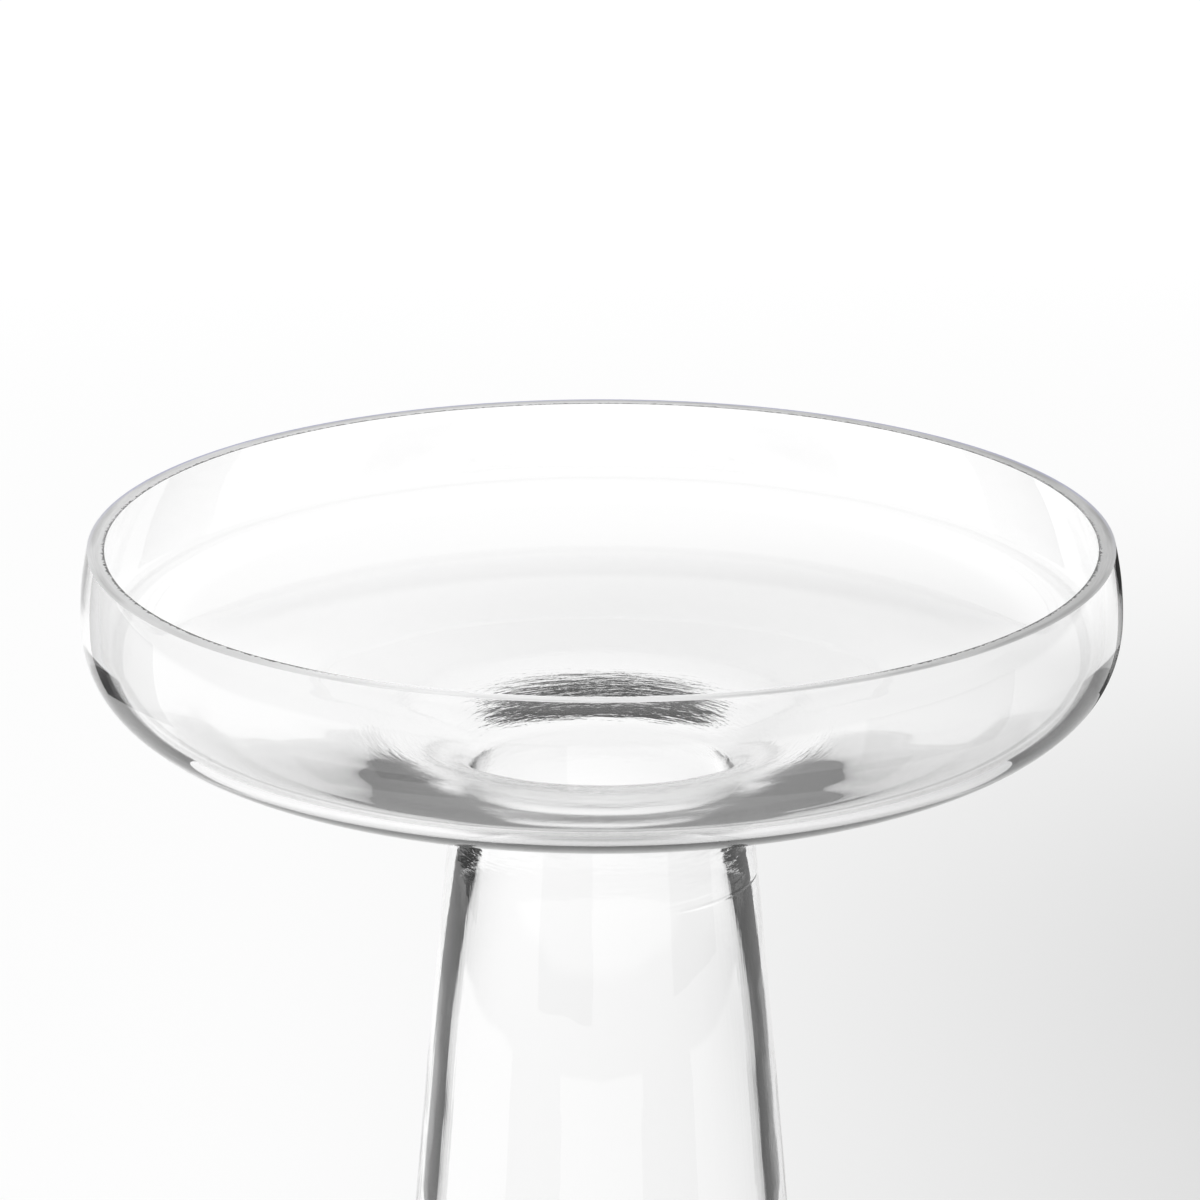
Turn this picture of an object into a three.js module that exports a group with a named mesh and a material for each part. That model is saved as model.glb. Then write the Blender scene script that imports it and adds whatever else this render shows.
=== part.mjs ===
// Saucer vase of clear blown glass: a wide, shallow saucer with an upright wall, joined hot at its
// neck to a hollow, tapering body. Millimetres, +Z up, standing on Z = 0 with the axis on Z.
// Each outline is a list of (radius, height) points, turned once round the axis.
import * as THREE from 'three';

// Heights of the two pieces
const BODY_HEIGHT = 216; // table to the seam
const SAUCER_HEIGHT = 84; // seam to the ground rim

// Saucer, outside
const RIM_RADIUS = 125; // outer edge of the ground rim
const WALL_BOW = 2; // how far the upright wall bows out past the rim
const WALL_BOW_DROP = 17; // rim down to the widest ring
const CORNER_RADIUS = 94.7; // ring where the rounded corner has become the underside
const CORNER_DROP = 46; // rim down to that ring
const CORNER_WALL_FULLNESS = 0.771; // how far the corner is filled on its wall side
const CORNER_FLOOR_FULLNESS = 0.595; // and on its floor side
const UNDERSIDE_SLOPE = 0.19; // fall of the underside towards the neck
const UNDERSIDE_BEND_RADIUS = 80.4; // ring inside which the underside falls faster
const UNDERSIDE_BEND = 0.053; // how much faster it falls at the fillet
const FILLET_RADIUS = 52.8; // ring where the underside starts to turn down into the neck
const FILLET_DROP = 62.4; // rim down to where the fillet has become the neck
const FILLET_TOP_FULLNESS = 0.86;
const FILLET_NECK_FULLNESS = 0.32;

// Saucer, inside
const RIM_WALL = 4.2; // glass at the ground rim
const FLOOR_RADIUS = 98.1; // ring where the rounded inner corner has become the floor
const FLOOR_THICKNESS = 4.88; // floor's edge above the underside, carried on straight
const FLOOR_WALL_FULLNESS = 0.846; // how far the inner corner is filled on its wall side
const FLOOR_FLOOR_FULLNESS = 0.481; // and on its floor side
const FLOOR_SLOPE = 0.14; // fall of the floor towards the lip
const LIP_RADIUS = 55.8; // ring where the floor starts to turn down into the throat
const LIP_FLOOR_FULLNESS = 0.759;
const LIP_THROAT_FULLNESS = 0.675;
const THROAT_RADIUS = 28.8; // narrowest ring of the throat
const THROAT_DROP = 69.6; // rim down to that ring
const THROAT_FULLNESS = 0.6;

// Seam between the two pieces
const SEAM_RADIUS = 38.6;
const SEAM_WALL = 8;

// Body
const FOOT_RADIUS = 55; // outside of the body above its rounded heel
const HEEL_HEIGHT = 15;
const HEEL_WIDTH = 11;
const HEEL_FULLNESS = 0.6;
const BODY_BOW = 0.8; // how far the tapering side bows out of a straight cone
const BODY_WALL = 5.2;
const BASE_THICKNESS = 9;
const INNER_HEEL_HEIGHT = 12;
const INNER_HEEL_WIDTH = 12;
const THICK_NECK_LENGTH = 48; // stretch below the seam where the wall thins to the body's wall
const THICK_NECK_POWER = 1.5; // how fast it thins

// Faces in each turned outline
const ROUND_STEPS = 64;
const BEND_STEPS = 6;
const SIDE_STEPS = 8;

const SLOPE_STEP = 0.01; // run over which a slope is measured

const rimHeight = BODY_HEIGHT + SAUCER_HEIGHT;

const glass = new THREE.MeshStandardMaterial({
  color: 0xeef3f3,
  roughness: 0.03,
  metalness: 0,
  transparent: true,
  opacity: 0.35,
});

function point(radius, height) {
  return new THREE.Vector2(radius, height);
}

// A bend between two straight runs that would meet at the corner point. A fullness of 1 fills the
// corner and 0 cuts it off.
function bend(from, corner, to, fullnessFrom, fullnessTo = fullnessFrom) {
  const leaving = from.clone().lerp(corner, fullnessFrom);
  const arriving = to.clone().lerp(corner, fullnessTo);
  return new THREE.CubicBezierCurve(from, leaving, arriving, to).getPoints(BEND_STEPS);
}

// Turns a closed outline round the Z axis.
function turned(name, outline) {
  const geometry = new THREE.LatheGeometry(outline, ROUND_STEPS);
  geometry.rotateX(Math.PI / 2);
  const mesh = new THREE.Mesh(geometry, glass.clone());
  mesh.name = name;
  return mesh;
}

// Body: outside radius and wall at a height between the heel and the seam
function bodyRadius(height) {
  const share = (height - HEEL_HEIGHT) / (BODY_HEIGHT - HEEL_HEIGHT);
  const cone = FOOT_RADIUS + (SEAM_RADIUS - FOOT_RADIUS) * share;
  return cone + 4 * BODY_BOW * share * (1 - share);
}

function bodyWall(height) {
  const depth = BODY_HEIGHT - height;
  const thick = Math.max(0, 1 - depth / THICK_NECK_LENGTH) ** THICK_NECK_POWER;
  return BODY_WALL + (SEAM_WALL - BODY_WALL) * thick;
}

function bodyInnerRadius(height) {
  return bodyRadius(height) - bodyWall(height);
}

function bodySide(lowest, radiusAt) {
  const points = [];
  for (let step = 0; step <= SIDE_STEPS; step += 1) {
    const height = lowest + ((BODY_HEIGHT - lowest) * step) / SIDE_STEPS;
    points.push(point(radiusAt(height), height));
  }
  return points;
}

function taperedBody() {
  const outside = bodySide(HEEL_HEIGHT, bodyRadius);
  const inside = bodySide(BASE_THICKNESS + INNER_HEEL_HEIGHT, bodyInnerRadius);
  const heel = bend(
    point(FOOT_RADIUS - HEEL_WIDTH, 0),
    point(FOOT_RADIUS, 0),
    outside[0],
    HEEL_FULLNESS,
  );
  const innerFoot = inside[0];
  const innerHeel = bend(
    innerFoot,
    point(innerFoot.x, BASE_THICKNESS),
    point(innerFoot.x - INNER_HEEL_WIDTH, BASE_THICKNESS),
    HEEL_FULLNESS,
  );
  return turned('tapered_body', [
    point(0, 0),
    ...heel,
    ...outside.slice(1),
    ...inside.reverse(),
    ...innerHeel.slice(1),
    point(0, BASE_THICKNESS),
  ]);
}

// How fast one of the body's faces widens downwards at the seam
function seamLeanOf(radiusAt) {
  return (radiusAt(BODY_HEIGHT - SLOPE_STEP) - radiusAt(BODY_HEIGHT)) / SLOPE_STEP;
}

// Outside of the neck above the seam, where the body's tapering side carries on
function neckRadius(height) {
  return SEAM_RADIUS - seamLeanOf(bodyRadius) * (height - BODY_HEIGHT);
}

// Saucer: height of its underside, which falls faster inside its bend
function undersideHeight(radius) {
  const inside = Math.max(0, UNDERSIDE_BEND_RADIUS - radius);
  const bendWidth = UNDERSIDE_BEND_RADIUS - FILLET_RADIUS;
  const extraFall = (UNDERSIDE_BEND * inside * inside) / (2 * bendWidth);
  return rimHeight - CORNER_DROP - UNDERSIDE_SLOPE * (CORNER_RADIUS - radius) - extraFall;
}

// Height of its floor, which falls evenly
function floorHeight(radius) {
  const edge = undersideHeight(FLOOR_RADIUS) + FLOOR_THICKNESS;
  return edge - FLOOR_SLOPE * (FLOOR_RADIUS - radius);
}

// The point that a surface would reach if it ran straight on from a ring
function carriedOn(heightAt, radius, toRadius) {
  const slope = (heightAt(radius + SLOPE_STEP) - heightAt(radius)) / SLOPE_STEP;
  return point(toRadius, heightAt(radius) + slope * (toRadius - radius));
}

// A sloping surface between two rings, from the outer one in
function surface(heightAt, outerRadius, innerRadius) {
  const points = [];
  for (let step = 0; step <= BEND_STEPS; step += 1) {
    const radius = outerRadius + ((innerRadius - outerRadius) * step) / BEND_STEPS;
    points.push(point(radius, heightAt(radius)));
  }
  return points;
}

// One face of the saucer's wall and rounded corner, from the rim down to the floor or underside
function wallAndCorner(rimRadius, heightAt, endRadius, wallFullness, floorFullness) {
  const bowRadius = rimRadius + WALL_BOW;
  const bowHeight = rimHeight - WALL_BOW_DROP;
  const rim = point(rimRadius, rimHeight);
  const bow = point(bowRadius, bowHeight);
  const wall = new THREE.QuadraticBezierCurve(rim, point(bowRadius, (rimHeight + bowHeight) / 2), bow);
  const corner = carriedOn(heightAt, endRadius, bowRadius);
  const cornerEnd = point(endRadius, heightAt(endRadius));
  return [
    ...wall.getPoints(BEND_STEPS / 2),
    ...bend(bow, corner, cornerEnd, wallFullness, floorFullness).slice(1),
  ];
}

function saucerInside() {
  const throat = point(THROAT_RADIUS, rimHeight - THROAT_DROP);
  const seamInside = point(bodyInnerRadius(BODY_HEIGHT), BODY_HEIGHT);
  const seamLean = seamLeanOf(bodyInnerRadius);
  const throatCorner = point(
    THROAT_RADIUS,
    BODY_HEIGHT + (seamInside.x - THROAT_RADIUS) / seamLean,
  );
  const floor = surface(floorHeight, FLOOR_RADIUS, LIP_RADIUS);
  return [
    ...wallAndCorner(
      RIM_RADIUS - RIM_WALL,
      floorHeight,
      FLOOR_RADIUS,
      FLOOR_WALL_FULLNESS,
      FLOOR_FLOOR_FULLNESS,
    ),
    ...floor.slice(1),
    ...bend(
      floor.at(-1),
      carriedOn(floorHeight, LIP_RADIUS, THROAT_RADIUS),
      throat,
      LIP_FLOOR_FULLNESS,
      LIP_THROAT_FULLNESS,
    ).slice(1),
    ...bend(throat, throatCorner, seamInside, THROAT_FULLNESS).slice(1),
  ];
}

function saucerOutside() {
  const bottom = surface(undersideHeight, CORNER_RADIUS, FILLET_RADIUS);
  const cornerHeight = carriedOn(undersideHeight, FILLET_RADIUS, SEAM_RADIUS).y;
  const neckTop = rimHeight - FILLET_DROP;
  return [
    ...wallAndCorner(
      RIM_RADIUS,
      undersideHeight,
      CORNER_RADIUS,
      CORNER_WALL_FULLNESS,
      CORNER_FLOOR_FULLNESS,
    ),
    ...bottom.slice(1),
    ...bend(
      bottom.at(-1),
      point(neckRadius(cornerHeight), cornerHeight),
      point(neckRadius(neckTop), neckTop),
      FILLET_TOP_FULLNESS,
      FILLET_NECK_FULLNESS,
    ).slice(1),
    point(SEAM_RADIUS, BODY_HEIGHT),
  ];
}

function saucerBowl() {
  const inside = saucerInside();
  return turned('saucer_bowl', [...inside, ...saucerOutside().reverse(), inside[0].clone()]);
}

const saucerVase = new THREE.Group();
saucerVase.add(taperedBody(), saucerBowl());

export default saucerVase;
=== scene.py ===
import math

import bmesh
import bpy
from bpy.props import FloatProperty, FloatVectorProperty, IntProperty, PointerProperty
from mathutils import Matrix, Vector
from mathutils.geometry import interpolate_bezier


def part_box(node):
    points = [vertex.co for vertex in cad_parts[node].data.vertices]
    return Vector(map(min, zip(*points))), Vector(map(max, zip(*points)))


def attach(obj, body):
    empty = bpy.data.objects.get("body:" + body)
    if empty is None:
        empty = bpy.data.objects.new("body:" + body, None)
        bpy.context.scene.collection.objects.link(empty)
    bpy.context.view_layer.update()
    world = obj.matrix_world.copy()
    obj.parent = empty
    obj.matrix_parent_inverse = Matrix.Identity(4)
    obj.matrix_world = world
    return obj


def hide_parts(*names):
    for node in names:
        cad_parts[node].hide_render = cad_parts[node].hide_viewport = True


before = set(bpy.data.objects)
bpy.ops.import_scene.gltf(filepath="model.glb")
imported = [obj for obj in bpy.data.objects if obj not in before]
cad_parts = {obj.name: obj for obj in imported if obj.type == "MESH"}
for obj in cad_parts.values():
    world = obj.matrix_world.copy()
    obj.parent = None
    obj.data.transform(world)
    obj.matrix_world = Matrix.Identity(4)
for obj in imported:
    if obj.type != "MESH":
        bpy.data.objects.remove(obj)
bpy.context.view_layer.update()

bl_info = {
    "name": "Saucer Vase",
    "version": (1, 0, 0),
    "blender": (4, 5, 0),
    "location": "View3D > Sidebar > Vase",
    "description": "Clear blown glass saucer on a tapering body, with its studio",
    "category": "Add Mesh",
}

SEAM_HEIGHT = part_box("tapered_body")[1][2]
RIM_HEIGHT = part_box("saucer_bowl")[1][2]
BOW_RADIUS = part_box("saucer_bowl")[1][0]
PHOTO_PIXELS = 1200.0

# Steps along the outlines and round the axis
SECTORS = 16
HEEL_STEPS = 20
FLAT_STEPS = 4
FLAG_STEPS = 24
PARABOLA = 2 / 3  # fullness at which a bend is a plain parabola
SLOPE_STEP = 1e-5
MERGE_DISTANCE = 1e-6

# Fades and widths in the materials and the room
SEAM_FADE = 0.01
CREASE_HALF_WIDTH = 0.0007
CREASE_FADE = 0.001
LINE_FADE = 0.8  # share of the line radius where the drawn lines start to fade
STREAK_CONTRAST = 0.3
GRIT_SCALE = 2600.0
GRIT_STRENGTH = 0.35
GRIT_DEPTH = 0.0002
CHIP_REACH = 0.55  # share of the rim's width that the largest chips could cross
CHIP_ROUGHNESS = 0.15
PAPER_COLOUR = 0.85
PAPER_FADE = 1.2  # share of the paper's radius where it has ended
WALL_FADE = 0.03
OVERHEAD_FADE = 0.15
FACES_OF_A_WALL = 2  # faces that light crosses in one wall of glass

# Turns of light that are followed: through glass, mirrored, and straight through the seam and flags
THROUGH_BOUNCES = 24
MIRROR_BOUNCES = 7
CLEAR_BOUNCES = 32


def length(name, description, default):
    """A size in metres that a user may change."""
    return FloatProperty(name=name, description=description, default=default, min=0.0, unit="LENGTH",
                         precision=5)


def share(name, description, default):
    """A plain number from 0 to 1."""
    return FloatProperty(name=name, description=description, default=default, min=0.0, max=1.0)


def tint(name, description, default):
    """A colour as it is written, in linear light."""
    return FloatVectorProperty(name=name, description=description, default=default, size=3, min=0.0, max=1.0,
                               subtype="COLOR")


class SaucerSizes(bpy.types.PropertyGroup):
    """Outline of the saucer: outside, inside and the throat into the body."""

    wall_bow: length("Wall bow", "How far the upright wall bows out past the rim", 0.002)
    wall_bow_drop: length("Wall bow drop", "Rim down to the widest ring", 0.017)
    corner_radius: length("Corner radius", "Ring where the corner has become the underside", 0.0947)
    corner_drop: length("Corner drop", "Rim down to that ring", 0.046)
    corner_wall_fullness: share("Corner fullness, wall", "How far it is filled on its wall side", 0.771)
    corner_floor_fullness: share("Corner fullness, floor", "How far it is filled on its floor side", 0.595)
    underside_slope: share("Underside slope", "Fall of the underside inside that ring", 0.19)
    underside_bend_radius: length("Underside bend", "Ring inside which the underside falls faster", 0.0804)
    underside_bend: share("Underside extra slope", "How much faster it falls at the fillet", 0.053)
    fillet_radius: length("Fillet radius", "Ring where the underside turns down into the neck", 0.0528)
    fillet_drop: length("Fillet drop", "Rim down to where the fillet has become the neck", 0.0624)
    fillet_top_fullness: share("Fillet fullness, top", "How far the fillet's corner is filled above", 0.86)
    fillet_neck_fullness: share("Fillet fullness, neck", "How far it is filled on the neck", 0.32)
    rim_wall: length("Rim wall", "Glass at the ground rim", 0.0042)
    floor_thickness: length("Floor thickness", "Floor's edge above the underside", 0.00488)
    floor_radius: length("Floor radius", "Ring where the inner corner has become the floor", 0.0981)
    floor_wall_fullness: share("Inner corner fullness, wall", "How far it is filled on its wall side", 0.846)
    floor_floor_fullness: share("Inner corner fullness, floor", "How far it is filled on the floor", 0.481)
    floor_slope: share("Floor slope", "Fall of the floor inside that ring", 0.14)
    lip_radius: length("Lip radius", "Ring where the floor turns down into the throat", 0.0558)
    lip_floor_fullness: share("Lip fullness, floor", "How far the lip's corner is filled above", 0.759)
    lip_throat_fullness: share("Lip fullness, throat", "How far it is filled in the throat", 0.675)
    throat_radius: length("Throat radius", "Narrowest ring of the throat", 0.0288)
    throat_drop: length("Throat drop", "Rim down to that ring", 0.0696)
    throat_fullness: share("Throat fullness", "How far its bend into the body is filled", 0.6)
    bend_steps: IntProperty(name="Bend steps", description="Faces across each bend", default=34, min=4)


class BodySizes(bpy.types.PropertyGroup):
    """Outline of the hollow, tapering body and its seam with the saucer."""

    seam_radius: length("Seam radius", "Outside of the neck at the seam", 0.0386)
    seam_wall: length("Seam wall", "Glass at the seam", 0.008)
    foot_radius: length("Foot radius", "Outside of the body above its heel", 0.055)
    heel_height: length("Heel height", "Height of the rounded heel", 0.015)
    heel_width: length("Heel width", "Width of the rounded heel", 0.011)
    heel_fullness: share("Heel fullness", "How far the heel's corner is filled", 0.6)
    body_bow: length("Body bow", "How far the side bows out of a straight cone", 0.0008)
    body_wall: length("Body wall", "Glass of the body's side", 0.0052)
    base_thickness: length("Base thickness", "Glass of the flat base", 0.009)
    inner_heel_height: length("Inner heel height", "Height of the bend inside", 0.012)
    inner_heel_width: length("Inner heel width", "Width of the bend inside", 0.012)
    thick_neck: length("Thick neck", "Stretch below the seam where the wall thins", 0.048)
    thick_neck_power: FloatProperty(name="Neck power", description="How fast it thins", default=1.5)
    side_steps: IntProperty(name="Side steps", description="Faces up the body's side", default=90, min=8)


class GlassLook(bpy.types.PropertyGroup):
    """Finish of the clear glass and of its ground rim."""

    round_steps: IntProperty(name="Round steps", description="Faces round the axis", default=320, min=32)
    ior: FloatProperty(name="Refraction", description="Index of refraction of soda-lime glass", default=1.5)
    colour: tint("Glass colour", "What the surface lets through", (1.0, 1.0, 1.0))
    shadow: tint("Shadow colour", "What each face lets through from the lamps", (0.93, 0.94, 0.94))
    wave_depth: length("Wave depth", "Height of the blown wall's slow waves", 0.00008)
    line_depth: length("Line depth", "Height of the drawn lines at the neck", 0.00005)
    pulled_depth: length("Pulled depth", "Height of the lines that run down the body", 0.000008)
    crease_depth: length("Crease depth", "Height of the crease at the seam", 0.00004)
    crease_radius: length("Crease radius", "Ring outside which the crease runs", 0.035)
    line_radius: length("Line radius", "Ring inside which the drawn lines run", 0.066)
    line_scale: FloatProperty(name="Line scale", description="Drawn lines in a metre", default=900.0)
    ground_level: share("Ground level", "Paleness of the matte ground rim", 0.78)
    # Painted reflection: a darker band near the rim's outer edge stands for the dark room seen in the ground
    # rim.
    ground_painted_reflection: share("Ground core", "How much darker the rim is near its outer edge", 0.2)
    # Painted shade: the rim's colour is darker on its right, as the light fell there.
    ground_painted_side_shade: share("Ground side shade", "How much darker the rim is on the right", 0.22)
    # Painted colour fringe: bluish light split by refraction at the rim's outer edge, on the back half.
    ground_painted_fringe: tint("Ground fringe", "Outer edge of the rim at the back", (0.42, 0.43, 0.62))
    ground_clearness: share("Ground clearness", "How far light passes the ground rim", 0.4)
    ground_roughness: share("Ground roughness", "Roughness of the ground rim", 0.45)


class StudioLook(bpy.types.PropertyGroup):
    """Camera, floor, the flags that draw the glass's edges, and the room that the glass sees."""

    camera_distance: length("Camera distance", "Lens to the centre of the rim", 1.635)
    camera_elevation: FloatProperty(name="Elevation", description="Height angle of the lens above the rim",
                                    default=math.radians(17.087), subtype="ANGLE")
    camera_pitch: FloatProperty(name="Pitch", description="Fall of the optical axis",
                                default=math.radians(17.599), subtype="ANGLE")
    focal_pixels: FloatProperty(name="Focal length", description="In pixels of the 1200 pixel frame",
                                default=6716.7)
    shift_pixels: FloatProperty(name="Shift", description="Sideways, in pixels of that frame", default=-1.5)
    floor_size: length("Floor", "Side of the pale floor", 14.0)
    paper_radius: length("Paper radius", "Axis to the end of the white paper, as the glass sees it", 1.58)
    glow_share: share("Glow", "Share of the floor that shines by itself and takes no shadow", 0.7)
    white: FloatProperty(name="White", description="Level of the floor's own glow", default=1.04)
    # Painted shade on the floor: a little darker near the vase, and further darker to the right behind it.
    near_shade: share("Near shade", "How far the near floor is below white", 0.025)
    side_shade: share("Side shade", "How much further it darkens on the right", 0.336)
    fill_level: share("Fill", "Level of the room's light on the floor and the ground rim", 0.5)
    # Painted shadow: the floor right under the vase is darker to light that came through the glass.
    under_level: share("Under level", "Level of the floor right under the vase, as the glass sees it", 0.45)
    flag_start: FloatProperty(name="Flag start", description="Angle between a flag and each axis beside it",
                              default=math.radians(26.5), subtype="ANGLE")
    flag_distance: length("Flag distance", "Vase's axis to the upright flags", 0.36)
    flag_height: length("Flag height", "Height of the two flags behind the vase", 0.174)
    front_flag_height: length("Front flag height", "Height of the two flags in front of it", 0.145)
    card_start: FloatProperty(name="Card start", description="Angle where a mirrored dark card starts",
                              default=math.radians(6), subtype="ANGLE")
    card_end: FloatProperty(name="Card end", description="Angle where it ends",
                            default=math.radians(42), subtype="ANGLE")
    card_bottom: length("Card bottom", "Lower edge of the mirrored dark cards", 0.13)
    card_top: length("Card top", "Upper edge of the mirrored dark cards", 0.26)
    dark_level: share("Dark level", "Level of the flags and of the dark room beyond the paper", 0.05)
    wall_bottom: FloatProperty(name="Wall bottom", description="Sine of its height angle", default=0.019)
    wall_top: FloatProperty(name="Wall top", description="Sine of its height angle", default=0.452)
    wall_level: share("Wall level", "Level of the pale wall above the dark room", 0.9)
    overhead_level: share("Overhead level", "Level overhead, as seen through the glass", 0.3)
    ceiling_level: share("Ceiling level", "Level overhead, as the glass mirrors it", 0.85)


class SocketValue:
    """A shader socket on which Python arithmetic adds Math nodes."""

    def __init__(self, shader, socket):
        self.shader = shader
        self.socket = socket

    def __add__(self, other):
        return self.shader.math("ADD", self, other)

    def __sub__(self, other):
        return self.shader.math("SUBTRACT", self, other)

    def __rsub__(self, other):
        return self.shader.math("SUBTRACT", other, self)

    def __mul__(self, other):
        return self.shader.math("MULTIPLY", self, other)

    def __truediv__(self, other):
        return self.shader.math("DIVIDE", self, other)

    def largest(self, other):
        return self.shader.math("MAXIMUM", self, other)

    __radd__ = __add__
    __rmul__ = __mul__


class Shader:
    """The node tree of one material or world."""

    def __init__(self, tree):
        self.tree = tree
        self.tree.nodes.clear()

    def node(self, kind, settings=None, sockets=None):
        """Adds a node: its settings are set first, then its sockets get values or links."""
        made = self.tree.nodes.new(kind)
        for name, value in (settings or {}).items():
            setattr(made, name, value)
        for name, value in (sockets or {}).items():
            socket = made.inputs[name]
            if isinstance(value, SocketValue):
                self.tree.links.new(value.socket, socket)
            elif isinstance(value, bpy.types.NodeSocket):
                self.tree.links.new(value, socket)
            else:
                socket.default_value = value
        return made

    def value(self, kind, output, settings=None, sockets=None):
        """Adds a node and returns one of its outputs, ready for arithmetic."""
        return SocketValue(self, self.node(kind, settings, sockets).outputs[output])

    def math(self, operation, *values):
        """Adds a Math node to numbers or sockets."""
        return self.value("ShaderNodeMath", 0, {"operation": operation}, dict(enumerate(values)))


WHITE = (1.0, 1.0, 1.0)


def opaque(colour):
    return (*colour, 1.0)


def new_material(name):
    material = bpy.data.materials.new(name)
    material.use_nodes = True
    return material, Shader(material.node_tree)


def lets_lamps_through(shader, surface, shadow_colour):
    """Glass that bends what is seen through it and lets the lamps light what is behind it."""
    is_shadow = shader.value("ShaderNodeLightPath", "Is Shadow Ray")
    clear = shader.node("ShaderNodeBsdfTransparent", None, {"Color": opaque(shadow_colour)})
    mix = shader.node("ShaderNodeMixShader", None, {0: is_shadow, 1: surface.outputs[0], 2: clear.outputs[0]})
    shader.node("ShaderNodeOutputMaterial", None, {"Surface": mix.outputs[0]})


def smooth_step(shader, value, start, end):
    """0 before start, 1 after end, and a smooth rise between them."""
    return shader.value("ShaderNodeMapRange", "Result", {"interpolation_type": "SMOOTHSTEP"},
                        {"Value": value, "From Min": start, "From Max": end})


def round_coordinates(shader):
    """Place on a turned piece: the share of the radius to the right and back, the radius and the height."""
    place = shader.node("ShaderNodeTexCoord").outputs["Object"]
    split = shader.node("ShaderNodeSeparateXYZ", None, {0: place})
    right, back, height = (SocketValue(shader, split.outputs[axis]) for axis in "XYZ")
    radius = shader.math("SQRT", right * right + back * back)
    return right / radius, back / radius, radius, height


def drawn_noise(shader, right, back, around, along, detail):
    """Noise that is drawn out round the axis, as the marks that a turning piece gets."""
    vector = shader.node("ShaderNodeCombineXYZ", None, {0: right * around, 1: back * around, 2: along})
    return shader.value("ShaderNodeTexNoise", "Fac", None,
                        {"Vector": vector.outputs[0], "Scale": 1.0, "Detail": detail})


def seam_crease(shader, look, right, back, radius, height):
    """A fine crease at the seam: on the outer face, in front, towards the right."""
    off_seam = shader.math("ABSOLUTE", height - SEAM_HEIGHT)
    crease = 1 - smooth_step(shader, off_seam, 0.0, CREASE_HALF_WIDTH)
    on_right = smooth_step(shader, right, 0.4, 0.7)
    outside = smooth_step(shader, radius, look.crease_radius, look.crease_radius + CREASE_FADE)
    in_front = 1 - smooth_step(shader, back, -0.2, 0.0)
    return crease * on_right * outside * in_front


def blown_surface(shader, look):
    """Slow waves of the blown wall, lines drawn round the neck, lines pulled down it, and the crease."""
    right, back, radius, height = round_coordinates(shader)
    waves = drawn_noise(shader, right, back, around=3.0, along=height * 45.0 + radius * 30.0, detail=1.0)
    lines = drawn_noise(shader, right, back, around=5.0, along=(radius + height) * look.line_scale,
                        detail=3.0)
    pulled = drawn_noise(shader, right, back, around=45.0, along=height * 4.0, detail=2.0)
    inner = 1 - smooth_step(shader, radius, look.line_radius * LINE_FADE, look.line_radius)
    above_seam = smooth_step(shader, height, SEAM_HEIGHT, SEAM_HEIGHT + SEAM_FADE)
    crease = seam_crease(shader, look, right, back, radius, height)
    relief = waves * look.wave_depth + lines * inner * above_seam * look.line_depth
    relief = relief + pulled * (1 - above_seam) * look.pulled_depth + crease * look.crease_depth
    return shader.node("ShaderNodeBump", None, {"Strength": 1.0, "Distance": 1.0, "Height": relief})


def clear_glass(look):
    """Fire-polished glass: sharp refraction, no colour of its own."""
    material, shader = new_material("clear_blown_glass")
    surface = shader.node("ShaderNodeBsdfPrincipled", None, {
        "Base Color": opaque(look.colour),
        "Roughness": 0.0,
        "IOR": look.ior,
        "Transmission Weight": 1.0,
        "Normal": blown_surface(shader, look).outputs[0],
    })
    lets_lamps_through(shader, surface, look.shadow)
    return material


def ground_colour_and_painted_light(shader, look, right, back, radius, across):
    """Streaks along the wheel's run, a painted reflection of the dark room as a darker band near the outer
    edge, painted shade on the right, and a painted colour fringe on the outer edge at the back.
    """
    streaks = drawn_noise(shader, right, back, around=12.0, along=radius * 3000.0, detail=3.0)
    clouds = drawn_noise(shader, right, back, around=4.0, along=radius * 200.0, detail=1.0)
    # Painted reflection of the dark room: a darker band near the outer edge, broken into clouds.
    painted_reflection_band = smooth_step(shader, across, 0.35, 0.7) * (1 - smooth_step(shader, across, 0.75, 0.95))
    cloudy_painted_reflection = painted_reflection_band * smooth_step(shader, clouds, 0.35, 0.6)
    # Painted shade: the rim's colour darkens towards its right side.
    painted_side_shade = smooth_step(shader, right, -0.2, 0.95) * look.ground_painted_side_shade
    streaked = look.ground_level + (streaks - 0.5) * STREAK_CONTRAST
    level = streaked - cloudy_painted_reflection * look.ground_painted_reflection - painted_side_shade
    # Painted colour fringe of refracted light, on the outer edge at the back.
    painted_fringe = smooth_step(shader, across, 0.72, 0.95) * smooth_step(shader, back, -0.2, 0.6)
    mix = shader.node("ShaderNodeMix", {"data_type": "RGBA"},
                      {0: painted_fringe, 6: level, 7: opaque(look.ground_painted_fringe)})
    return mix.outputs[2]


def ground_grit(shader):
    """Fine grain that the wheel leaves."""
    place = shader.node("ShaderNodeTexCoord").outputs["Object"]
    grit = shader.value("ShaderNodeTexNoise", "Fac", None,
                        {"Vector": place, "Scale": GRIT_SCALE, "Detail": 3.0})
    bump = shader.node("ShaderNodeBump", None,
                       {"Strength": GRIT_STRENGTH, "Distance": GRIT_DEPTH, "Height": grit})
    return bump.outputs[0]


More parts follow.
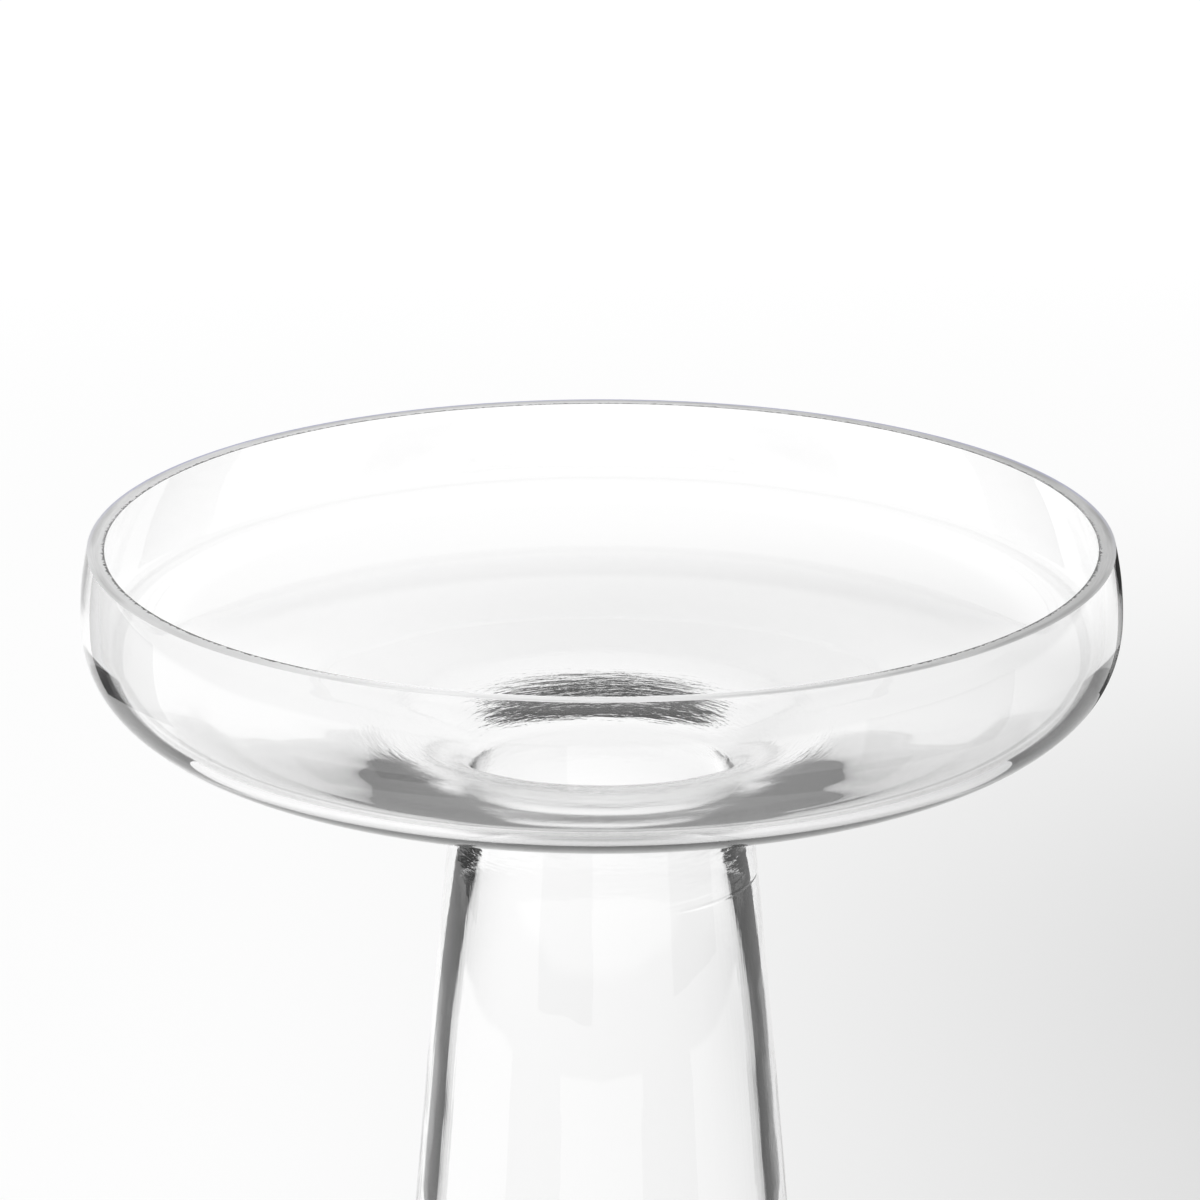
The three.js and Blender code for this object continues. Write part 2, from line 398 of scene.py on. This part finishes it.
def ground_glass(look, inner_edge, outer_edge):
    """The rim's flat top: ground matte, and chipped clear at the inner edge."""
    material, shader = new_material("ground_rim_glass")
    right, back, radius, _ = round_coordinates(shader)
    across = (radius - inner_edge) / (outer_edge - inner_edge)
    ground = shader.node("ShaderNodeBsdfPrincipled", None, {
        "Base Color": ground_colour_and_painted_light(shader, look, right, back, radius, across),
        "Roughness": look.ground_roughness,
        "IOR": look.ior,
        "Transmission Weight": look.ground_clearness,
        "Normal": ground_grit(shader),
    })
    clear = shader.node("ShaderNodeBsdfPrincipled", None, {
        "Base Color": opaque(look.colour),
        "Roughness": CHIP_ROUGHNESS,
        "IOR": look.ior,
        "Transmission Weight": 1.0,
    })
    bite = drawn_noise(shader, right, back, around=110.0, along=0.0, detail=2.0)
    chipped = smooth_step(shader, bite * CHIP_REACH - across, 0.12, 0.18)
    surface = shader.node("ShaderNodeMixShader", None,
                          {0: chipped, 1: ground.outputs[0], 2: clear.outputs[0]})
    lets_lamps_through(shader, surface, look.shadow)
    return material


def fused_seam():
    """Where the two gathers of glass are one: light passes without a bend."""
    material, shader = new_material("fused_seam")
    clear = shader.node("ShaderNodeBsdfTransparent", None, {"Color": opaque(WHITE)})
    shader.node("ShaderNodeOutputMaterial", None, {"Surface": clear.outputs[0]})
    return material


def shared_material(name, make):
    """Makes a material the first time that a piece asks for it."""
    return bpy.data.materials.get(name) or make()


def point(radius, height):
    return Vector((radius, 0.0, height))


def line(start, end, steps):
    return [start.lerp(end, step / steps) for step in range(steps + 1)]


def bend(start, corner, end, start_fullness, end_fullness, steps):
    """A bend between two straight runs that would meet at the corner."""
    leaving = start.lerp(corner, start_fullness)
    arriving = end.lerp(corner, end_fullness)
    return interpolate_bezier(start, leaving, arriving, end, steps + 1)


def joined(*runs):
    """One outline from runs that meet end to start."""
    outline = list(runs[0])
    for run in runs[1:]:
        outline.extend(run[1:])
    return outline


def underside(sizes):
    """Height of the underside at a radius: it falls faster inside its bend."""
    def height_at(radius):
        inside = max(0.0, sizes.underside_bend_radius - radius)
        bend_width = sizes.underside_bend_radius - sizes.fillet_radius
        extra_fall = sizes.underside_bend * inside * inside / (2 * bend_width)
        edge = RIM_HEIGHT - sizes.corner_drop
        return edge - sizes.underside_slope * (sizes.corner_radius - radius) - extra_fall
    return height_at


def inner_floor(sizes):
    """Height of the floor at a radius: it falls evenly."""
    edge = underside(sizes)(sizes.floor_radius) + sizes.floor_thickness
    return lambda radius: edge - sizes.floor_slope * (sizes.floor_radius - radius)


def slope_at(height_at, radius):
    return (height_at(radius + SLOPE_STEP) - height_at(radius)) / SLOPE_STEP


def sloping_run(height_at, outer_radius, inner_radius, steps):
    """A stretch of floor or underside, from its outer ring in."""
    radii = [outer_radius + (inner_radius - outer_radius) * step / steps for step in range(steps + 1)]
    return [point(radius, height_at(radius)) for radius in radii]


def carried_on(height_at, radius, to_radius):
    """The point that a surface would reach if it ran straight on from a ring."""
    return point(to_radius, height_at(radius) + slope_at(height_at, radius) * (to_radius - radius))


def wall_and_corner(sizes, inset, height_at, end_radius, wall_fullness, floor_fullness):
    """One face of the wall and the rounded corner, from the rim down to the floor or underside."""
    bow_radius = BOW_RADIUS - inset
    bow = point(bow_radius, RIM_HEIGHT - sizes.wall_bow_drop)
    rim = point(bow_radius - sizes.wall_bow, RIM_HEIGHT)
    wall = bend(rim, point(bow_radius, (RIM_HEIGHT + bow.z) / 2), bow, PARABOLA, PARABOLA,
                sizes.bend_steps // 2)
    turn = bend(bow, carried_on(height_at, end_radius, bow_radius), point(end_radius, height_at(end_radius)),
                wall_fullness, floor_fullness, sizes.bend_steps * 2)
    return joined(wall, turn)


def seam_lean(radius_at, body):
    """How fast one of the body's faces widens downwards at the seam."""
    return (radius_at(body, SEAM_HEIGHT - SLOPE_STEP) - radius_at(body, SEAM_HEIGHT)) / SLOPE_STEP


def neck_radius(body, height):
    """Outside of the neck above the seam, where the body's side carries on."""
    return body.seam_radius - seam_lean(body_radius, body) * (height - SEAM_HEIGHT)


def saucer_outline(sizes, body):
    """Closed outline of the saucer, from the ground rim down the inside and back up the outside."""
    below, above = underside(sizes), inner_floor(sizes)
    outside = wall_and_corner(sizes, 0.0, below, sizes.corner_radius, sizes.corner_wall_fullness,
                              sizes.corner_floor_fullness)
    inside = wall_and_corner(sizes, sizes.rim_wall, above, sizes.floor_radius, sizes.floor_wall_fullness,
                             sizes.floor_floor_fullness)
    floor = sloping_run(above, sizes.floor_radius, sizes.lip_radius, sizes.bend_steps // 2)
    throat = point(sizes.throat_radius, RIM_HEIGHT - sizes.throat_drop)
    lip = bend(floor[-1], carried_on(above, sizes.lip_radius, throat.x), throat, sizes.lip_floor_fullness,
               sizes.lip_throat_fullness, sizes.bend_steps)
    seam_inside = point(inner_radius(body, SEAM_HEIGHT), SEAM_HEIGHT)
    throat_corner = SEAM_HEIGHT + (seam_inside.x - throat.x) / seam_lean(inner_radius, body)
    throat_wall = bend(throat, point(throat.x, throat_corner), seam_inside, sizes.throat_fullness,
                       sizes.throat_fullness, sizes.bend_steps // 2)
    bottom = sloping_run(below, sizes.corner_radius, sizes.fillet_radius, sizes.bend_steps // 2)
    neck_top = RIM_HEIGHT - sizes.fillet_drop
    corner = carried_on(below, sizes.fillet_radius, body.seam_radius)
    fillet = bend(bottom[-1], point(neck_radius(body, corner.z), corner.z),
                  point(neck_radius(body, neck_top), neck_top), sizes.fillet_top_fullness,
                  sizes.fillet_neck_fullness, sizes.bend_steps)
    neck = line(fillet[-1], point(body.seam_radius, SEAM_HEIGHT), FLAT_STEPS)
    downwards = joined(outside, bottom, fillet, neck)
    return joined(inside, floor, lip, throat_wall, [seam_inside, neck[-1]], downwards[::-1],
                  [outside[0], inside[0]])


def body_radius(body, height):
    share_up = (height - body.heel_height) / (SEAM_HEIGHT - body.heel_height)
    cone = body.foot_radius + (body.seam_radius - body.foot_radius) * share_up
    return cone + 4 * body.body_bow * share_up * (1 - share_up)


def inner_radius(body, height):
    thick = max(0.0, 1 - (SEAM_HEIGHT - height) / body.thick_neck) ** body.thick_neck_power
    return body_radius(body, height) - body.body_wall - (body.seam_wall - body.body_wall) * thick


def body_outline(body):
    """Outline of the body, from the axis under the base round to the axis on the inner floor."""
    inner_heel_top = body.base_thickness + body.inner_heel_height
    outside = [point(body_radius(body, level.z), level.z)
               for level in line(point(0, body.heel_height), point(0, SEAM_HEIGHT), body.side_steps)]
    inside = [point(inner_radius(body, level.z), level.z)
              for level in line(point(0, SEAM_HEIGHT), point(0, inner_heel_top), body.side_steps)]
    heel = bend(point(body.foot_radius - body.heel_width, 0), point(body.foot_radius, 0), outside[0],
                body.heel_fullness, body.heel_fullness, HEEL_STEPS)
    inner_foot = inside[-1]
    inner_heel = bend(inner_foot, point(inner_foot.x, body.base_thickness),
                      point(inner_foot.x - body.inner_heel_width, body.base_thickness),
                      body.heel_fullness, body.heel_fullness, HEEL_STEPS)
    foot = line(point(0, 0), heel[0], FLAT_STEPS)
    inner_base = line(inner_heel[-1], point(0, body.base_thickness), FLAT_STEPS)
    return joined(foot, heel, outside, [outside[-1], inside[0]], inside, inner_heel, inner_base)


def turned_mesh(outline, steps):
    """Spins an outline through one sector, copies the sector round the axis and closes the surface."""
    shape = bmesh.new()
    corners = [shape.verts.new(place) for place in outline]
    edges = [shape.edges.new(pair) for pair in zip(corners, corners[1:])]
    sector = 2 * math.pi / SECTORS
    bmesh.ops.spin(shape, geom=corners + edges, cent=(0, 0, 0), axis=(0, 0, 1), angle=sector,
                   steps=steps // SECTORS)
    bmesh.ops.spin(shape, geom=shape.verts[:] + shape.edges[:] + shape.faces[:], cent=(0, 0, 0),
                   axis=(0, 0, 1), angle=2 * math.pi - sector, steps=SECTORS - 1, use_duplicate=True)
    bmesh.ops.remove_doubles(shape, verts=shape.verts, dist=MERGE_DISTANCE)
    bmesh.ops.recalc_face_normals(shape, faces=shape.faces)
    return shape


def paint_faces(shape, choose):
    """Gives each face its material's number, and a hard edge where two materials meet."""
    for face in shape.faces:
        face.smooth = True
        face.material_index = choose(face)
    for edge in shape.edges:
        numbers = {face.material_index for face in edge.link_faces}
        edge.smooth = len(numbers) == 1


def finished_piece(name, shape, materials, node):
    mesh = bpy.data.meshes.new(name)
    shape.to_mesh(mesh)
    shape.free()
    for material in materials:
        mesh.materials.append(material)
    piece = bpy.data.objects.new(name, mesh)
    bpy.context.scene.collection.objects.link(piece)
    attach(piece, "root")
    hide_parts(node)


def is_level(face, height):
    return all(abs(corner.co.z - height) < MERGE_DISTANCE for corner in face.verts)


class VASE_OT_saucer_bowl(bpy.types.Operator):
    """Builds the wide saucer with its ground rim, lip and throat"""

    bl_idname = "vase.saucer_bowl"
    bl_label = "Saucer bowl"

    def execute(self, context):
        sizes = context.scene.vase_saucer
        look = context.scene.vase_glass
        shape = turned_mesh(saucer_outline(sizes, context.scene.vase_body), look.round_steps)
        glass = shared_material("clear_blown_glass", lambda: clear_glass(look))
        seam = shared_material("fused_seam", fused_seam)

        def choose(face):
            if is_level(face, RIM_HEIGHT):
                return 1
            return 2 if is_level(face, SEAM_HEIGHT) else 0

        paint_faces(shape, choose)
        rim_radius = BOW_RADIUS - sizes.wall_bow
        rim = ground_glass(look, rim_radius - sizes.rim_wall, rim_radius)
        finished_piece("saucer_bowl_glass", shape, [glass, rim, seam], "saucer_bowl")
        return {"FINISHED"}


class VASE_OT_tapered_body(bpy.types.Operator):
    """Builds the hollow, tapering body on its flat base"""

    bl_idname = "vase.tapered_body"
    bl_label = "Tapered body"

    def execute(self, context):
        look = context.scene.vase_glass
        shape = turned_mesh(body_outline(context.scene.vase_body), look.round_steps)
        glass = shared_material("clear_blown_glass", lambda: clear_glass(look))
        seam = shared_material("fused_seam", fused_seam)
        paint_faces(shape, lambda face: 1 if is_level(face, SEAM_HEIGHT) else 0)
        finished_piece("tapered_body_glass", shape, [glass, seam], "tapered_body")
        return {"FINISHED"}


def floor_material(studio):
    """White paper: the lens sees it white, it keeps the vase's shadow, the glass sees where it ends, and it
    carries painted shade to the right behind the vase and a painted contact shadow under it.
    """
    material, shader = new_material("pale_floor")
    place = shader.node("ShaderNodeTexCoord").outputs["Object"]
    split = shader.node("ShaderNodeSeparateXYZ", None, {0: place})
    right = SocketValue(shader, split.outputs["X"])
    back = SocketValue(shader, split.outputs["Y"])
    distance = shader.value("ShaderNodeVectorMath", "Value", {"operation": "LENGTH"}, {0: place})
    rays = shader.node("ShaderNodeLightPath")
    through_glass = SocketValue(shader, rays.outputs["Is Transmission Ray"])
    seen = through_glass.largest(SocketValue(shader, rays.outputs["Is Camera Ray"]))
    seen = seen.largest(SocketValue(shader, rays.outputs["Is Glossy Ray"]))
    # Painted shade: the paper is darkened to the right behind the vase, in both its colour and its glow.
    shade = smooth_step(shader, right, -0.15, 0.4) * studio.side_shade + studio.near_shade
    behind_vase = smooth_step(shader, back, -0.5, 0.3) * (1 - smooth_step(shader, back, 0.43, 1.1))
    bright = 1 - shade * behind_vase
    paper_end = smooth_step(shader, distance, studio.paper_radius, studio.paper_radius * PAPER_FADE)
    # Painted contact shadow under the vase, seen only through the glass.
    painted_contact_shadow = 1 - smooth_step(shader, distance, 0.05, 0.1)
    dimmed = (1 - paper_end * (1 - studio.dark_level)) * (1 - painted_contact_shadow * (1 - studio.under_level))
    level = bright * studio.white * (1 - through_glass * (1 - dimmed))
    paper = shader.node("ShaderNodeBsdfDiffuse", None, {"Color": bright * PAPER_COLOUR})
    glow = shader.node("ShaderNodeEmission", None, {"Color": level, "Strength": 1.0})
    far = smooth_step(shader, back, 0.9, 1.8)
    keep = seen * (1 - (1 - studio.glow_share) * (1 - through_glass) * (1 - far))
    mix = shader.node("ShaderNodeMixShader", None, {0: keep, 1: paper.outputs[0], 2: glow.outputs[0]})
    shader.node("ShaderNodeOutputMaterial", None, {"Surface": mix.outputs[0]})
    return material


def stage_piece(name, shape, material):
    mesh = bpy.data.meshes.new(name)
    shape.to_mesh(mesh)
    shape.free()
    mesh.materials.append(material)
    piece = bpy.data.objects.new(name, mesh)
    bpy.context.scene.collection.objects.link(piece)
    return piece


def make_floor(studio):
    shape = bmesh.new()
    bmesh.ops.create_grid(shape, x_segments=1, y_segments=1, size=studio.floor_size / 2)
    stage_piece("pale_floor", shape, floor_material(studio))


def flag_material(studio):
    """Dark to light that crossed one wall of glass, and clear to light that crossed the hollow too."""
    material, shader = new_material("dark_flag")
    level = opaque((studio.dark_level, studio.dark_level, studio.dark_level))
    glow = shader.node("ShaderNodeEmission", None, {"Color": level, "Strength": 1.0})
    clear = shader.node("ShaderNodeBsdfTransparent", None, {"Color": opaque(WHITE)})
    faces_crossed = shader.value("ShaderNodeLightPath", "Transmission Depth")
    past_hollow = shader.math("GREATER_THAN", faces_crossed, FACES_OF_A_WALL + 0.5)
    mix = shader.node("ShaderNodeMixShader", None, {0: past_hollow, 1: glow.outputs[0], 2: clear.outputs[0]})
    shader.node("ShaderNodeOutputMaterial", None, {"Surface": mix.outputs[0]})
    return material


def upright_strip(shape, radius, bottom, top, start, end):
    """Adds an upright strip round the vase, between two angles off straight back."""
    foot = Vector((radius * math.sin(start), radius * math.cos(start), bottom))
    corners = [shape.verts.new(foot), shape.verts.new((foot.x, foot.y, top))]
    edge = shape.edges.new(corners)
    bmesh.ops.spin(shape, geom=corners + [edge], cent=(0, 0, 0), axis=(0, 0, 1), steps=FLAG_STEPS,
                   angle=start - end)


def hide_from_lens(piece):
    """Leaves a piece to the light that the glass bends or mirrors."""
    piece.visible_camera = False
    piece.visible_diffuse = False
    piece.visible_shadow = False


def make_flags(studio):
    """Low flags that are seen through the glass, and dark cards that its right side mirrors."""
    dark = flag_material(studio)
    flags = bmesh.new()
    cards = bmesh.new()
    quarter_turn = math.pi / 2
    for quarter in range(4):
        turn = quarter * quarter_turn
        height = studio.flag_height if quarter in (0, 3) else studio.front_flag_height
        upright_strip(flags, studio.flag_distance, 0.0, height, turn + studio.flag_start,
                      turn + quarter_turn - studio.flag_start)
        upright_strip(cards, studio.flag_distance, studio.card_bottom, studio.card_top,
                      turn + studio.card_start, turn + studio.card_end)
    low_flags = stage_piece("low_flags", flags, dark)
    hide_from_lens(low_flags)
    low_flags.visible_glossy = False
    mirrored = stage_piece("mirrored_cards", cards, dark)
    hide_from_lens(mirrored)
    mirrored.visible_transmission = False


def make_lamp(name, place, aim, width, depth, power):
    lamp = bpy.data.lights.new(name, "AREA")
    lamp.shape = "RECTANGLE"
    lamp.size = width
    lamp.size_y = depth
    lamp.energy = power
    holder = bpy.data.objects.new(name, lamp)
    holder.location = place
    holder.rotation_euler = (Vector(aim) - Vector(place)).to_track_quat("-Z", "Y").to_euler()
    bpy.context.scene.collection.objects.link(holder)
    holder.visible_glossy = False
    holder.visible_transmission = False


def make_world(studio):
    """White to the lens; through the glass a dark room stands beyond the paper, under a pale wall."""
    world = bpy.data.worlds.new("studio_room")
    bpy.context.scene.world = world
    world.use_nodes = True
    shader = Shader(world.node_tree)
    direction = shader.node("ShaderNodeTexCoord").outputs["Generated"]
    up = shader.value("ShaderNodeSeparateXYZ", "Z", None, {0: direction})
    above_floor = smooth_step(shader, up, studio.wall_bottom, studio.wall_bottom + WALL_FADE)
    above_wall = smooth_step(shader, up, studio.wall_top, studio.wall_top + OVERHEAD_FADE)
    wall = above_floor * (1 - above_wall) * studio.wall_level
    through = (wall + above_wall * studio.overhead_level).largest(studio.dark_level)
    mirrored = 1 - smooth_step(shader, up, 0.3, 0.7) * (1 - studio.ceiling_level)
    rays = shader.node("ShaderNodeLightPath")
    is_through = SocketValue(shader, rays.outputs["Is Transmission Ray"])
    is_glossy = SocketValue(shader, rays.outputs["Is Glossy Ray"])
    is_diffuse = SocketValue(shader, rays.outputs["Is Diffuse Ray"])
    plain = 1 - is_through - is_glossy - is_diffuse
    level = is_through * through + is_glossy * mirrored + is_diffuse * studio.fill_level + plain
    background = shader.node("ShaderNodeBackground", None, {"Color": opaque(WHITE), "Strength": level})
    shader.node("ShaderNodeOutputWorld", None, {"Surface": background.outputs[0]})


def make_camera(studio):
    camera = bpy.data.cameras.new("photo_camera")
    camera.lens = studio.focal_pixels / PHOTO_PIXELS * camera.sensor_width
    camera.shift_x = studio.shift_pixels / PHOTO_PIXELS
    camera.clip_end = 100.0
    holder = bpy.data.objects.new("photo_camera", camera)
    back = studio.camera_distance * math.cos(studio.camera_elevation)
    rise = studio.camera_distance * math.sin(studio.camera_elevation)
    holder.location = (0.0, -back, RIM_HEIGHT + rise)
    holder.rotation_euler = (math.pi / 2 - studio.camera_pitch, 0.0, 0.0)
    bpy.context.scene.collection.objects.link(holder)
    bpy.context.scene.camera = holder


class VASE_OT_stage(bpy.types.Operator):
    """Sets the camera, the pale floor, the flags, the lamp and the room"""

    bl_idname = "vase.stage"
    bl_label = "Studio"

    def execute(self, context):
        studio = context.scene.vase_studio
        make_camera(studio)
        make_floor(studio)
        make_flags(studio)
        make_lamp("overhead_softbox", place=(-0.8, -0.4, 2.6), aim=(0, 0, 0), width=2.5, depth=2.5,
                  power=60.0)
        make_world(studio)
        scene = context.scene
        scene.view_settings.view_transform = "Standard"
        scene.cycles.max_bounces = THROUGH_BOUNCES
        scene.cycles.transmission_bounces = THROUGH_BOUNCES
        scene.cycles.glossy_bounces = MIRROR_BOUNCES
        scene.cycles.transparent_max_bounces = CLEAR_BOUNCES
        return {"FINISHED"}


class VASE_PT_sidebar(bpy.types.Panel):
    """Lists the sizes and the steps"""

    bl_idname = "VASE_PT_sidebar"
    bl_label = "Saucer Vase"
    bl_space_type = "VIEW_3D"
    bl_region_type = "UI"
    bl_category = "Vase"

    def draw(self, context):
        groups = (context.scene.vase_saucer, context.scene.vase_body, context.scene.vase_glass,
                  context.scene.vase_studio)
        for group in groups:
            box = self.layout.box()
            for name in group.__annotations__:
                box.prop(group, name)
        for operator in OPERATORS:
            self.layout.operator(operator.bl_idname)


OPERATORS = (VASE_OT_stage, VASE_OT_tapered_body, VASE_OT_saucer_bowl)
GROUPS = {
    "vase_saucer": SaucerSizes,
    "vase_body": BodySizes,
    "vase_glass": GlassLook,
    "vase_studio": StudioLook,
}


def register():
    for kind in (*GROUPS.values(), *OPERATORS, VASE_PT_sidebar):
        bpy.utils.register_class(kind)
    for name, kind in GROUPS.items():
        setattr(bpy.types.Scene, name, PointerProperty(type=kind))


def unregister():
    for name in GROUPS:
        delattr(bpy.types.Scene, name)
    for kind in (VASE_PT_sidebar, *OPERATORS, *GROUPS.values()):
        bpy.utils.unregister_class(kind)


def main():
    register()
    bpy.ops.vase.stage()
    bpy.ops.vase.tapered_body()
    bpy.ops.vase.saucer_bowl()


if __name__ == "__main__":
    main()
